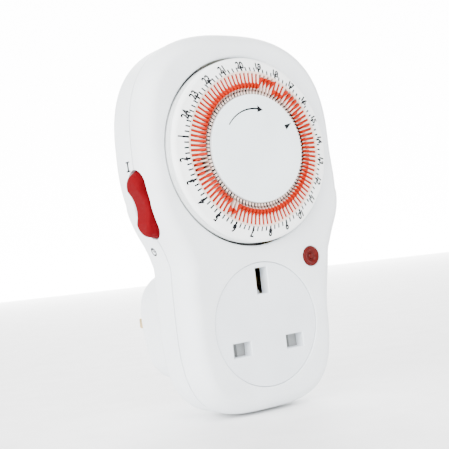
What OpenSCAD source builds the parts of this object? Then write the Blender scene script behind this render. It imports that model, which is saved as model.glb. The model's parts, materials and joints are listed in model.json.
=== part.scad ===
// Plug-in timer switch: a rounded two-part casing with a rotating 24 hour dial of
// tilting tappets, a flat-pin mains socket below it and a flat-pin plug behind.
// Frame: +X right, +Z up, +Y backwards, out of the plug face. The origin lies on the
// plug face, midway between the two lower pins.

/* [Casing] */
// Depth of the casing from its front face to its rear wall
case_d = 25; // [25:0.5:28]
// Depth of the front shell, from the face to the seam
seam_d = 9.5; // [9:0.5:10]
// Wall of both shells
wall = 2.2; // [1.8:0.1:2.4]
// Width of the dial end
upper_w = 80; // [79:1:84]
// Height of the dial end
upper_h = 79; // [78:1:84]
// Height of the middle of the dial end above the socket line
upper_up = 69.5; // [69:0.5:71]
// Squareness of the dial end, where 2 is an ellipse
upper_sq = 2.6; // [2.4:0.1:3]
// Width of the socket end
lower_w = 61; // [60:1:66]
// Height of the socket end
lower_h = 75; // [74:1:80]
// Height of the middle of the socket end above the socket line
lower_up = 15; // [14:0.5:16]
// Squareness of the socket end
lower_sq = 3.3; // [3:0.1:3.6]
// How widely the two ends blend at the waist
waist = 10; // [6:1:14]
// How much fuller the right side is between the dial and the socket
cheek = 4.5; // [0:0.5:5]
// How far the soft front edge reaches in over the face
edge_in = 5.6; // [4.8:0.2:6]
// How far the soft front edge reaches back down the side
edge_back = 8.75; // [7:0.25:8.75]
// Radius of the rear edge
rear_edge = 5.5; // [4:0.5:6]

/* [Plug] */
// Length of the plug housing behind the rear wall
boss_d = 25; // [22:1:28]
// Width of the plug housing
boss_w = 46; // [44:1:48]
// Height of the wide part of the plug housing
boss_h = 39.5; // [38:0.5:42]
// How far the middle of the wide part lies below the pin line
boss_drop = 2; // [1.5:0.5:3.5]
// Radius of the narrow top of the plug housing, round the earth pin
crown_r = 15; // [14:0.5:16]
// How widely the wide part and the narrow top of the plug housing blend
boss_waist = 10; // [8:1:14]
// Radius of the rear edge of the plug housing
boss_edge = 3; // [2:0.5:3.5]
// Thickness of the face that the pins come through
boss_wall = 3; // [2.5:0.25:3.5]
// Spacing of the two line pins, and of the earth pin above them
pin_pitch = 22.225; // [22.2:0.005:22.25]
// Width of a line pin
pin_w = 6.35; // [6.2:0.05:6.4]
// Thickness of every pin
pin_t = 4; // [3.9:0.05:4.1]
// Length of a line pin from the plug face
pin_l = 17.7; // [17:0.1:18]
// Height of the section of the earth pin
earth_w = 8; // [7.8:0.05:8.1]
// Length of the earth pin from the plug face
earth_l = 22.7; // [22:0.1:23]
// Length of the insulating sleeve on a line pin
sleeve_l = 9; // [8:0.5:10]
// Thickness of the insulating sleeve
sleeve_t = 0.5; // [0.4:0.05:0.6]
// How far the plug pins lie above the socket line
plug_rise = 9; // [8:0.5:10]

/* [Socket] */
// Radius of the round socket plate
plate_r = 21.2; // [20.5:0.1:22]
// Height of the centre of the socket plate above the socket line
plate_up = 7.3; // [7:0.1:7.6]
// How far the socket plate lies below the face
plate_sunk = 0.4; // [0.3:0.1:0.8]
// Depth of the socket plate from its front to its back
plate_d = 4.2; // [4:0.2:4.4]
// Length of a line aperture
line_slot_w = 7.2; // [7:0.1:7.4]
// Width of each aperture
slot_t = 4.8; // [4.7:0.1:5]
// Length of the earth aperture
earth_slot_w = 9; // [8.8:0.1:9.2]
// Travel of the shutter
shutter_go = 6; // [5.5:0.1:6.5]
// Thickness of the shutter
shutter_t = 1.4; // [1.2:0.1:1.6]
// Thickness of the contact strips
strip_t = 0.8; // [0.6:0.1:1]
// Radius of the indicator lens
lens_r = 3.5; // [3:0.1:4]
// Distance of the indicator lens from the middle
lens_x = 22.1; // [21.6:0.1:22.6]
// Height of the indicator lens above the socket line
lens_up = 28.5; // [28:0.1:29]

/* [Dial] */
// How far the dial centre lies below the middle of the dial end
dial_drop = 2.5; // [2:0.5:3]
// Outer radius of the number ring
dial_r = 31.7; // [31:0.1:32]
// Gap between the number ring and the casing
dial_gap = 0.6; // [0.4:0.1:0.8]
// How far the rib tops stand in front of the face
rib_rise = 4.9; // [4.6:0.1:5.2]
// Radius of the fixed centre disc
disc_r = 18.5; // [18:0.1:18.6]
// How far the centre disc stands in front of the face
disc_rise = 6; // [5.8:0.1:6.4]
// Inner end of the tappet slots
slot_in = 19.6; // [19.4:0.1:19.8]
// Outer end of the tappet slots
slot_out = 26; // [25.8:0.1:26.2]
// Number of tappets on the dial, four to the hour
tappet_n = 96; // [96:96:96]
// Thickness of a tappet
tappet_t = 0.7; // [0.6:0.05:0.75]
// Radial width of the head of a tappet
head_w = 2.3; // [2:0.1:2.5]
// Tilt of a tappet to either side
tappet_tilt = 16; // [14:1:17]
// Direction of hour 14, seen from the front, anticlockwise from +X
dial_turn = 5; // [0:0.5:15]

/* [Gear train] */
// Module of every gear
gear_m = 0.6; // [0.58:0.01:0.62]
// Teeth of the dial gear
dial_teeth = 60; // [58:1:62]
// Teeth of the wheel of the reduction gear
wheel_teeth = 48; // [46:1:48]
// Teeth of both pinions
pinion_teeth = 12; // [12:1:13]
// Direction of the reduction gear from the dial centre
train_dir = 90; // [86:1:94]
// Direction of the motor shaft from the reduction gear
motor_dir = -50; // [-54:1:-46]
// Radius of the motor can
motor_r = 17.5; // [16:0.5:18]
// Radius of the post that the dial turns on
post_r = 4; // [3.5:0.1:4.5]
// Radial clearance of every running fit
run_gap = 0.05; // [0.03:0.01:0.08]

/* [Override switch] */
// Length of the rocker
rocker_l = 25; // [24:0.5:26]
// Width of the rocker
rocker_w = 8.4; // [8:0.1:8.8]
// How far the middle of the rocker lies below the middle of the dial end
rocker_drop = 17; // [16.5:0.5:17.5]
// Lean of the rocker, which follows the side wall
rocker_lean = 11; // [9:1:13]
// Radius of the trunnions of the rocker
trunnion_r = 1.5; // [1.3:0.1:1.7]

/* [Hidden] */

$fn = 64;
eps = 0.01;
boss_sq = 3.3;                       // squareness of the wide part of the plug housing
crown_run = 14;                       // how far its narrow top reaches down
outline_n = 48;                      // points down each side of an outline
edge_n = 5;                          // rings that turn a soft edge
face_y = -(case_d + boss_d);
seam_y = face_y + seam_d;
rear_y = -boss_d;
sock_z = -plug_rise;
dial_z = sock_z + upper_up - dial_drop;
half_pitch = pin_pitch / 2;
fit_gap = 0.1;                       // clearance of pieces that are fixed together
play = 0.35;                         // clearance between pieces that move past each other

// Dial, measured forward (-) and backward (+) from the casing face
pivot_r = (slot_in + slot_out) / 2;
pivot_y = -0.9;
slot_step = 360 / tappet_n;
slot_w = tappet_t + 0.2;
wire_r = 0.4;
tail_back = 2.7;
head_top = rib_rise + 0.7;            // from the pivot to the top of the head
head_foot = rib_rise - 0.9;
blade_half = 2.2;
blade_low = 1.4;
web_back = 0.9;
gear_front = tail_back + 1;
gear_t = 2.3;
wheel_front = gear_front + gear_t + 0.6;
wheel_t = 1.2;
plate_front = wheel_front + wheel_t + 1.2;
plate_t = 1.2;
plate_back = plate_front + plate_t;
pinion_front = gear_front - 0.3;
hours_set = [2, 2.25, 2.5, 2.75, 5.25, 5.5, 14.75, 16, 16.25, 16.5, 16.75, 17, 18, 18.25, 18.5, 18.75];
slots_set = [for (h = hours_set) h * 4];
train_r = gear_m * (dial_teeth + pinion_teeth) / 2;
motor_off = gear_m * (wheel_teeth + pinion_teeth) / 2;
train_x = train_r * cos(train_dir);
train_up = train_r * sin(train_dir);
motor_x = train_x + motor_off * cos(motor_dir);
motor_up = train_up + motor_off * sin(motor_dir);
axle_r = 1.2;

// Rocker
rocker_z = sock_z + upper_up - rocker_drop;
rocker_y = seam_d + 0.3;
rocker_sunk = 5.2;                   // from the outside of the wall to the trunnions
lug_t = 1.5;
rocker_out = 7.2;                    // from the trunnions to the tips of the rocker
rocker_back = 3.4;                   // from the trunnions to the back of the hub
rocker_reach = norm([rocker_l / 2, rocker_sunk]);
window_in = 1.5;
hub_half = 4.5;
rocker_hollow = 1.8;
rocker_curve = 24;

lens_flange = 1;
lens_flange_t = 1;
lug_half = 3;
lug_out = 4;

// ---- outlines -----------------------------------------------------------------
function lobe(z, w, h, mid, sq) =
    abs(z - mid) < h / 2 ? w / 2 * pow(1 - pow(abs(z - mid) * 2 / h, sq), 1 / sq) : 0;
function blend(a, b, k) =
    (a + b + sqrt((a - b) * (a - b) + k * k) - sqrt(max(a, b) * max(a, b) + k * k) + max(a, b)) / 2;
function case_half(z) = blend(
    lobe(z, upper_w, upper_h, sock_z + upper_up, upper_sq),
    lobe(z, lower_w, lower_h, sock_z + lower_up, lower_sq), waist);
function boss_half(z) = blend(
    lobe(z, boss_w, boss_h, -boss_drop, boss_sq),
    lobe(z, 2 * crown_r, 2 * crown_r + crown_run, pin_pitch - crown_run / 2, 2.4), boss_waist);

// Extra width of the right side between the dial and the socket
cheek_z = sock_z + 38;
cheek_run = 31;
function cheek_out(z) = abs(z - cheek_z) < cheek_run
    ? cheek / 2 * (1 + cos(180 * (z - cheek_z) / cheek_run)) : 0;

rocker_x = rocker_sunk - case_half(rocker_z);
case_top = sock_z + upper_up + upper_h / 2;
case_foot = sock_z + lower_up - lower_h / 2;
boss_top = pin_pitch + crown_r;
boss_foot = -boss_drop - boss_h / 2;

// A closed outline: right side from top to foot, then the left side back up
function height_at(i, n, top, foot) = (top + foot) / 2 + (top - foot) / 2 * cos(180 * i / n);
function case_line(n) = concat(
    [for (i = [0:n]) let (z = height_at(i, n, case_top, case_foot)) [case_half(z) + cheek_out(z), z]],
    [for (i = [1:n - 1]) let (z = height_at(n - i, n, case_top, case_foot)) [-case_half(z), z]]);
function boss_line(n) = concat(
    [for (i = [0:n]) let (z = height_at(i, n, boss_top, boss_foot)) [boss_half(z), z]],
    [for (i = [1:n - 1]) let (z = height_at(n - i, n, boss_top, boss_foot)) [-boss_half(z), z]]);

// The outline moved inwards along its own normals
function inward(line, d) = [for (i = [0:len(line) - 1])
    let (a = line[(i + len(line) - 1) % len(line)], b = line[(i + 1) % len(line)],
         t = (b - a) / norm(b - a)) line[i] + d * [t[1], -t[0]]];

// A solid lofted through rings of one outline, each [inset, y]
module loft(line, rings) {
    n = len(line);
    m = len(rings);
    points = [for (r = rings) for (p = inward(line, r[0])) [p[0], r[1], p[1]]];
    sides = [for (k = [0:m - 2]) for (i = [0:n - 1]) let (j = (i + 1) % n)
        each [[k * n + i, (k + 1) * n + i, k * n + j], [k * n + j, (k + 1) * n + i, (k + 1) * n + j]]];
    front = [for (i = [0:n - 1]) i];
    back = [for (i = [0:n - 1]) m * n - 1 - i];
    polyhedron(points, concat([front], sides, [back]));
}

// Lays a flat shape (x, z) at depth y and extrudes it backwards
module lay(y) translate([0, y, 0]) rotate([90, 0, 0]) mirror([0, 0, 1]) children();
module disc(y, d, r, x = 0, z = 0) translate([x, 0, z]) lay(y) cylinder(h = d, r = r);
module block(x, y, z) translate([x[0], y[0], z[0]])
    cube([x[1] - x[0], y[1] - y[0], z[1] - z[0]]);
module on_dial() translate([0, face_y, dial_z]) children();

// ---- casing -------------------------------------------------------------------
screw_side = 14.5;
screw_down = 16.5;
foot_side = 12;
foot_up = 7.9;
screw_spots = [for (s = [-1, 1]) each [
    [s * (upper_w / 2 - screw_side), case_top - screw_down],
    [s * (lower_w / 2 - foot_side), case_foot + foot_up]]];
switch_x = [-18, 2];
switch_h = 10;
switch_below = 25.5;                 // from the dial centre down to the top of the switch
plate_spots = [[-27, 8], [28, -10], [switch_x[0] - 4, 1.5 - switch_below], [23, 1.5 - switch_below]];
screw_r = 1.4;
screw_head_r = 2.3;
screw_boss_r = 2.6;

module front_casing() {
    outer = concat(
        [for (k = [0:edge_n]) let (a = 90 * k / edge_n)
            [edge_in * (1 - sin(a)), face_y + edge_back * (1 - cos(a))]],
        [[0, seam_y]]);
    inner = [[edge_in + 1, face_y + wall], [wall + 1, face_y + wall + 2], [wall, face_y + edge_back],
        [wall, seam_y + 1]];
    color("whitesmoke") difference() {
        union() {
            difference() {
                loft(case_line(outline_n), outer);
                loft(case_line(outline_n), inner);
            }
            on_dial() disc(wall - eps, switch_front - play - wall, dial_r + dial_gap + 1.5);
            for (p = screw_spots) disc(face_y + wall - eps, seam_d - wall + eps, screw_boss_r, p[0], p[1]);
            rocker_lug(rocker_y - rocker_w / 2 - play - lug_t);
        }
        on_dial() disc(-1, wall + 5, dial_r + dial_gap);
        disc(face_y - 1, wall + 2, plate_r + fit_gap, 0, sock_z + plate_up);
        disc(face_y - 1, wall + 2, lens_r + fit_gap, lens_x, sock_z + lens_up);
        disc(face_y + wall, lens_flange_t + fit_gap, lens_r + lens_flange + fit_gap,
            lens_x, sock_z + lens_up);
        for (p = screw_spots) disc(face_y + wall + 1, seam_d, screw_r, p[0], p[1]);
        rocker_window();
        rocker_bore();
    }
}

module rear_casing() {
    outer = concat([[0, seam_y]],
        [for (k = [0:edge_n]) let (a = 90 * k / edge_n)
            [rear_edge * (1 - cos(a)), rear_y - rear_edge * (1 - sin(a))]]);
    inner = [[wall, seam_y - 1], [wall, rear_y - rear_edge], [wall + 2, rear_y - wall - 1],
        [rear_edge, rear_y - wall]];
    boss_outer = concat([[0, rear_y - wall / 2]],
        [for (k = [0:edge_n]) let (a = 90 * k / edge_n)
            [boss_edge * (1 - cos(a)), -boss_edge * (1 - sin(a))]]);
    color("whitesmoke") difference() {
        union() {
            difference() {
                union() {
                    loft(case_line(outline_n), outer);
                    loft(boss_line(outline_n), boss_outer);
                }
                loft(case_line(outline_n), inner);
                loft(boss_line(outline_n), [[wall, rear_y - wall - 1], [wall, -boss_wall]]);
            }
            for (p = screw_spots) disc(seam_y, case_d - seam_d - wall + eps, screw_head_r + 1, p[0], p[1]);
            for (p = plate_spots)
                disc(face_y + plate_back, case_d - plate_back - 1, 2.5, p[0], dial_z + p[1]);
            rocker_lug(rocker_y + rocker_w / 2 + play);
        }
        for (p = screw_spots) {
            disc(seam_y - 1, case_d - seam_d + 1, screw_r + fit_gap, p[0], p[1]);
            disc(rear_y - 3, 4, screw_head_r + 0.3, p[0], p[1]);
        }
        for (p = plate_spots)
            disc(face_y + plate_back - 1, plate_screw_l + 1, plate_screw_r + 0.05, p[0], dial_z + p[1]);
        for (s = [-1, 1]) pin_hole(s * half_pitch, 0, pin_w, pin_t);
        pin_hole(0, pin_pitch, pin_t, earth_w);
        rocker_window();
        rocker_bore();
    }
}

module pin_hole(x, z, w, h) block(
    [x - w / 2 - fit_gap, x + w / 2 + fit_gap], [-boss_wall - 1, 1],
    [z - h / 2 - fit_gap, z + h / 2 + fit_gap]);

module casing_screws() color("silver") for (p = screw_spots) difference() {
    union() {
        disc(rear_y - 3, 1.8, screw_head_r, p[0], p[1]);
        disc(face_y + wall + 1.5, case_d - wall - 4, screw_r - 0.05, p[0], p[1]);
    }
    for (a = [0, 90]) translate([p[0], rear_y - 1.2, p[1]]) rotate([0, a, 0])
        cube([1.4 * screw_head_r, 1.6, 0.7], center = true);
}

// ---- override rocker ------------------------------------------------------------
module rocker_frame() translate([rocker_x, face_y + rocker_y, rocker_z])
    rotate([0, -rocker_lean, 0]) children();

// A slice of a round tyre about the trunnions, so that its ends clear the window as it swings
module rocker_bar(low, high, grow) intersection() {
    rotate([90, 0, 0]) rotate_extrude($fn = 128) union() {
        translate([0, -rocker_w / 2 - grow]) square([rocker_reach - rocker_w / 2, rocker_w + 2 * grow]);
        translate([rocker_reach - rocker_w / 2, 0]) circle(r = rocker_w / 2 + grow);
    }
    translate([(low + high) / 2, 0, 0]) cube([high - low, 2 * rocker_w, 3 * rocker_l], center = true);
}
module rocker_window() rocker_frame() rocker_bar(-rocker_out - 4, window_in, play);

module rocker_lug(y) translate([0, face_y + y, 0])
    block([rocker_x - lug_out, rocker_x + lug_half], [0, lug_t], [rocker_z - lug_half, rocker_z + lug_half]);

module rocker_bore() disc(face_y + rocker_y - rocker_w, 2 * rocker_w, trunnion_r + run_gap,
    rocker_x, rocker_z);

module override_rocker() color("crimson") rocker_frame() {
    difference() {
        rocker_bar(-rocker_out, rocker_back, 0);
        // Hollow thumb face
        translate([-rocker_out + rocker_hollow - rocker_curve, 0, 0]) rotate([90, 0, 0])
            cylinder(h = 2 * rocker_w, r = rocker_curve, center = true, $fn = 96);
        // Room behind the ends
        for (s = [-1, 1]) translate([rocker_back, 0, s * (hub_half + rocker_l / 2)])
            cube([2 * rocker_back, 2 * rocker_w, rocker_l], center = true);
    }
    rotate([90, 0, 0]) cylinder(h = rocker_w + 2 * (play + lug_t) - 0.4, r = trunnion_r, center = true);
}

// ---- socket -----------------------------------------------------------------------
plate_back_y = face_y + plate_sunk + plate_d;
shutter_y = plate_back_y + 0.4;
clip_y = shutter_y + shutter_t + 1.2;
clip_d = 11;
clip_gap = 0.1;
shutter_half = 16;
shutter_low = 3.6;                   // from the socket line to the edges of the shutter
shutter_high = 3.4;

module apertures(y, d) {
    for (s = [-1, 1]) block([s * half_pitch - line_slot_w / 2, s * half_pitch + line_slot_w / 2],
        [y, y + d], [sock_z - slot_t / 2, sock_z + slot_t / 2]);
    block([-slot_t / 2, slot_t / 2], [y, y + d],
        [sock_z + pin_pitch - earth_slot_w / 2, sock_z + pin_pitch + earth_slot_w / 2]);
}

module socket_plate() color("gainsboro") difference() {
    union() {
        disc(face_y + plate_sunk, plate_d, plate_r, 0, sock_z + plate_up);
        disc(face_y + wall, plate_d + plate_sunk - wall, plate_r + 1.6, 0, sock_z + plate_up);
        // Guides on both sides of the shutter, and the seat of its spring
        for (s = [-1, 1]) translate([s * (shutter_half + 1.2), 0, 0])
            block([-0.8, 0.8], [plate_back_y - eps, shutter_y + shutter_t + 0.6], [sock_z - 9, sock_z + 5]);
        block([-3, 3], [plate_back_y - eps, shutter_y + shutter_t + 1.8], [spring_foot - 1.3, spring_foot]);
    }
    apertures(face_y - 1, plate_d + 4);
}

module shutter() color("lightgrey") difference() {
    union() {
        block([-shutter_half, shutter_half], [shutter_y, shutter_y + shutter_t],
            [sock_z - shutter_low, sock_z + shutter_high]);
        block([-1.6, 1.6], [shutter_y, shutter_y + shutter_t],
            [sock_z + shutter_high - eps, sock_z + pin_pitch - 2]);
    }
    // Sloping end that the earth pin pushes down
    translate([0, shutter_y, sock_z + pin_pitch - 2]) rotate([45, 0, 0]) cube([8, 3, 3], center = true);
}

// Coil spring under the shutter, a wire swept along a helix
spring_turns = 5;
spring_r = 1.5;
spring_wire = 0.25;
spring_top = sock_z - shutter_low;
spring_foot = spring_top - shutter_go - 2.4;
module shutter_spring() color("silver") {
    rings = spring_turns * 12;
    sides = 6;
    rise = spring_top - spring_foot - 2 * spring_wire;
    points = [for (k = [0:rings])
        let (a = 360 * spring_turns * k / rings, z = spring_foot + spring_wire + rise * k / rings)
        for (q = [0:sides - 1]) let (b = 360 * q / sides, r = spring_r + spring_wire * cos(b))
            [r * cos(a), shutter_y + shutter_t / 2 + 0.8 + r * sin(a), z + spring_wire * sin(b)]];
    skin = [for (k = [0:rings - 1]) for (q = [0:sides - 1]) let (p = (q + 1) % sides)
        each [[k * sides + q, k * sides + p, (k + 1) * sides + q],
              [k * sides + p, (k + 1) * sides + p, (k + 1) * sides + q]]];
    start = [for (q = [0:sides - 1]) sides - 1 - q];
    finish = [for (q = [0:sides - 1]) rings * sides + q];
    polyhedron(points, concat([start], skin, [finish]));
}

// ---- plug pins and contact strips ---------------------------------------------------
flange_y = -boss_wall;
flange_t = 1.5;
tip_slope = 25;
foot_y = flange_y - flange_t - strip_t;

// A pin with a pointed tip. Its head rests on the inside of the plug face.
module flat_pin(x, z, w, h, long, neck) {
    tip = 1.6;
    difference() {
        union() {
            block([x - w / 2 - flange_t, x + w / 2 + flange_t], [flange_y - flange_t, flange_y],
                [z - h / 2 - flange_t, z + h / 2 + flange_t]);
            block([x - w / 2, x + w / 2], [flange_y - eps, long], [z - h / 2, z + h / 2]);
        }
        for (s = [-1, 1]) {
            translate([x + s * w / 2, long, z]) rotate([0, 0, s * tip_slope])
                cube([tip, 3 * tip, 2 * h], center = true);
            translate([x, long, z + s * h / 2]) rotate([-s * tip_slope, 0, 0])
                cube([2 * w, 3 * tip, tip], center = true);
        }
        if (neck > 0) difference() {
            block([x - w, x + w], [eps, neck], [z - h, z + h]);
            block([x - w / 2 + sleeve_t, x + w / 2 - sleeve_t], [0, neck + 1],
                [z - h / 2 + sleeve_t, z + h / 2 - sleeve_t]);
        }
    }
}
module neutral_pin() color("goldenrod") flat_pin(-half_pitch, 0, pin_w, pin_t, pin_l, sleeve_l);
module live_pin() color("goldenrod") flat_pin(half_pitch, 0, pin_w, pin_t, pin_l, sleeve_l);
module earth_pin() color("goldenrod") flat_pin(0, pin_pitch, pin_t, earth_w, earth_l, 0);

module pin_sleeve(x) color("dimgrey") difference() {
    block([x - pin_w / 2, x + pin_w / 2], [eps, sleeve_l], [-pin_t / 2, pin_t / 2]);
    block([x - pin_w / 2 + sleeve_t, x + pin_w / 2 - sleeve_t], [-1, sleeve_l + 1],
        [-pin_t / 2 + sleeve_t, pin_t / 2 - sleeve_t]);
}
module neutral_sleeve() pin_sleeve(-half_pitch);
module live_sleeve() pin_sleeve(half_pitch);

// Two leaves that grip a pin across the gap, joined behind
module clip(x, z, w, gap) {
    leaf = gap / 2 + clip_gap;
    for (s = [-1, 1]) block([x - w / 2, x + w / 2], [clip_y, clip_y + clip_d],
        [z + s * leaf - (s < 0 ? strip_t : 0), z + s * leaf + (s > 0 ? strip_t : 0)]);
    block([x - w / 2, x + w / 2], [clip_y + clip_d - strip_t, clip_y + clip_d],
        [z - leaf - strip_t, z + leaf + strip_t]);
}

// Strip from the back of a clip to the head of a pin
module run_back(x, w, low, high) {
    block([x - w / 2, x + w / 2], [clip_y + clip_d - strip_t, clip_y + clip_d], [low, high]);
    block([x - w / 2, x + w / 2], [clip_y + clip_d - strip_t, foot_y + strip_t], [high - strip_t, high]);
    block([x - w / 2, x + w / 2], [foot_y, foot_y + strip_t], [high - 5, high]);
}
bar_w = 5.4;
bar_top = 3;                         // top of the strips on the line pins
side_bar_half = 2;
side_bar = [half_pitch + 3.9, half_pitch + 7.9];
module neutral_bar() color("peru") {
    clip(-half_pitch, sock_z, bar_w, pin_t);
    run_back(-half_pitch, bar_w, sock_z, bar_top);
}
module earth_bar() color("peru") {
    translate([0, 0, sock_z + pin_pitch]) rotate([0, 90, 0]) clip(0, 0, bar_w, pin_t);
    run_back(0, pin_t, sock_z + pin_pitch, pin_pitch + bar_top);
}

// Switch: its box hangs on the gear plate, with the plunger on top
switch_z = [dial_z - switch_below - switch_h, dial_z - switch_below];
tongue_y = [face_y + 5, face_y + 8];
tongue_in = 6;
tongue_drop = 4.5;
switch_front = gear_front;
plunger_x = -8;
plunger_r = 1.2;
plunger_rise = 1.2;                  // from the box to the top of the plunger
plunger_in = 1.5;
plunger_back = 2.6;                  // from the front of the box to the middle of the plunger
plunger_y = switch_front + plunger_back;
module live_bar_in() color("peru") {
    x = half_pitch;
    run_back(x, bar_w, bar_top - strip_t, bar_top);
    block([x - bar_w / 2, x + bar_w / 2], [clip_y + clip_d + 1, clip_y + clip_d + 1 + strip_t],
        [bar_top - strip_t, switch_z[0]]);
    block([x - bar_w / 2, x + bar_w / 2], [tongue_y[1] - eps, clip_y + clip_d + 1 + strip_t],
        [switch_z[0] - strip_t, switch_z[0]]);
    block([switch_x[1] - tongue_in, x + bar_w / 2], tongue_y, [switch_z[0] - strip_t, switch_z[0]]);
}
module live_bar_out() color("peru") {
    side = side_bar;
    top = switch_z[1] - tongue_drop;
    clip(half_pitch, sock_z, bar_w, pin_t);
    block([half_pitch, side[1]], [clip_y + clip_d - strip_t, clip_y + clip_d],
        [sock_z - side_bar_half, sock_z + side_bar_half]);
    block(side, [clip_y + clip_d - strip_t, clip_y + clip_d], [sock_z - side_bar_half, top]);
    block(side, [tongue_y[1] - eps, clip_y + clip_d], [top - strip_t, top]);
    block([switch_x[1], side[1]], tongue_y, [top - strip_t, top]);
}

module switch_body() color("dimgrey") difference() {
    block(switch_x, [face_y + switch_front, face_y + plate_front], switch_z);
    translate([plunger_x, face_y + plunger_y, switch_z[1] - 2 * plunger_in])
        cylinder(h = 2 * plunger_in + 1, r = plunger_r + run_gap);
}
module switch_plunger() color("red")
    translate([plunger_x, face_y + plunger_y, switch_z[1] - plunger_in])
        cylinder(h = plunger_in + plunger_rise, r = plunger_r);

// Lever between the tappets and the plunger
lever_x = 13;
lever_up = 3;                        // from the top of the switch box to the lever's axle
lever_z = dial_z - switch_below + lever_up;
lever_gap = 0.1;
lever_low = switch_z[1] + plunger_rise + lever_gap;
lever_h = 2.2;
lever_arm = [lever_low, lever_low + lever_h];
lever_t = 1.4;
lever_hub = 2.8;
nose_half = 0.8;
lever_back = 1.9;                    // from the front of the switch box to the lever
lever_front = gear_front + lever_back;
module switch_lever() color("khaki") difference() {
    union() {
        disc(face_y + lever_front, lever_t, lever_hub, lever_x, lever_z);
        block([plunger_x - 3, lever_x], [face_y + lever_front, face_y + lever_front + lever_t], lever_arm);
        block([-nose_half, nose_half], [face_y + tail_back + 0.2, face_y + lever_front + eps], lever_arm);
    }
    disc(face_y, case_d, axle_r + run_gap, lever_x, lever_z);
}

// ---- indicator ------------------------------------------------------------------------
lens_rise = 0.5;
lens_t = 0.8;
lamp_r = 2.4;
lamp_end = 12;                       // from the face to the back of the lamp
resistor_l = 5;
lead_l = 2.2;
lead_r = 0.4;
module indicator_lens() color("darkred") difference() {
    union() {
        disc(face_y - lens_rise, wall + lens_rise + eps, lens_r, lens_x, sock_z + lens_up);
        disc(face_y + wall, lens_flange_t, lens_r + lens_flange, lens_x, sock_z + lens_up);
    }
    disc(face_y + lens_t, wall + lens_flange_t, lamp_r + play / 2, lens_x, sock_z + lens_up);
}
module indicator_lamp() color("orange")
    disc(face_y + lens_t + fit_gap, lamp_end - lens_t - fit_gap, lamp_r, lens_x, sock_z + lens_up);
module lamp_resistor() color("tan") {
    z = sock_z + lens_up;
    disc(face_y + lamp_end, resistor_l, 1.2, lens_x, z);
    disc(face_y + lamp_end + resistor_l - eps, lead_l, lead_r, lens_x, z);
    block([side_bar[1], lens_x + lead_r],
        [face_y + lamp_end + resistor_l + lead_l - 2 * lead_r, face_y + lamp_end + resistor_l + lead_l],
        [z - lead_r, z + lead_r]);
}

// ---- mechanism ------------------------------------------------------------------------
// Involute gear outline: one tooth's flanks, repeated
pressure = 25;
function inv_point(base, r, side, back) =
    let (k = acos(base / r), a = tan(k) * 180 / PI - k, turn = side * (back - a))
        [r * cos(turn), r * sin(turn)];
module gear_shape(teeth, phase) {
    pitch = gear_m * teeth / 2;
    base = pitch * cos(pressure);
    tip = pitch + 0.8 * gear_m;
    root = pitch - 1.1 * gear_m;
    low = max(base + 0.001, root);
    slack = 2.2;
    half = 90 / teeth - slack / pitch + tan(pressure) * 180 / PI - pressure;
    steps = 4;
    flank = [for (k = [0:steps]) low + (tip - low) * k / steps];
    points = [for (t = [0:teeth - 1]) let (turn = phase + 360 * t / teeth)
        each concat(
            [turned([root, 0], turn - 90 / teeth * 1.15)],
            [for (r = flank) turned(inv_point(base, r, -1, half), turn)],
            [for (k = [0:steps]) turned(inv_point(base, flank[steps - k], 1, half), turn)],
            [turned([root, 0], turn + 90 / teeth * 1.15)])];
    polygon(points);
}
function turned(p, a) = [p[0] * cos(a) - p[1] * sin(a), p[0] * sin(a) + p[1] * cos(a)];
module gear(x, z, y, t, teeth, phase) translate([x, 0, z]) lay(y) linear_extrude(t) gear_shape(teeth, phase);

module gear_plate() color("lightsteelblue") on_dial() {
    difference() {
        union() {
            lay(plate_front) linear_extrude(plate_t) polygon([plate_spots[0] + [-3, 4],
                [train_x - 8, train_up + 4.4], [train_x + 8, train_up + 4.4], plate_spots[1] + [3, 22],
                plate_spots[1] + [3, 0], plate_spots[3] + [4, -4], [switch_x[1] + 3, 1 - switch_below - 4],
                [switch_x[1] + 2, 0.5 - switch_below - switch_h],
                [switch_x[0] - 1, 0.5 - switch_below - switch_h],
                plate_spots[2] + [0, -4], plate_spots[2] + [-4, -4], plate_spots[0] + [-3, -4]]);
            disc(gear_front + gear_t + 0.3, plate_front - gear_front - gear_t - 0.3 + eps, post_r + 1.6);
            disc(-disc_rise + disc_t, plate_front + disc_rise - disc_t + eps, post_r);
            post(train_x, train_up, pinion_front - 0.3, wheel_front + wheel_t + 0.2);
            post(lever_x, lever_z - dial_z, lever_front - 0.4, lever_front + lever_t + 0.2);
        }
        disc(-disc_rise, stub_l + 3, stub_r + run_gap);
        disc(plate_front - 1, plate_t + 2, 3, motor_x, motor_up);
        for (p = plate_spots) disc(plate_front - 1, plate_t + 2, plate_screw_r + 0.35, p[0], p[1]);
    }
}
// A fixed axle with the shoulder that its wheel runs against
module post(x, z, tip, shoulder) {
    disc(tip, plate_front - tip + eps, axle_r, x, z);
    disc(shoulder, plate_front - shoulder + eps, axle_r + 1, x, z);
}
plate_screw_l = 6;
plate_screw_r = 1.05;
module plate_screws() color("silver") on_dial() for (p = plate_spots) {
    disc(plate_front - 1.2, 1.2, 2.2, p[0], p[1]);
    disc(plate_front - eps, plate_screw_l, plate_screw_r, p[0], p[1]);
}

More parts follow.
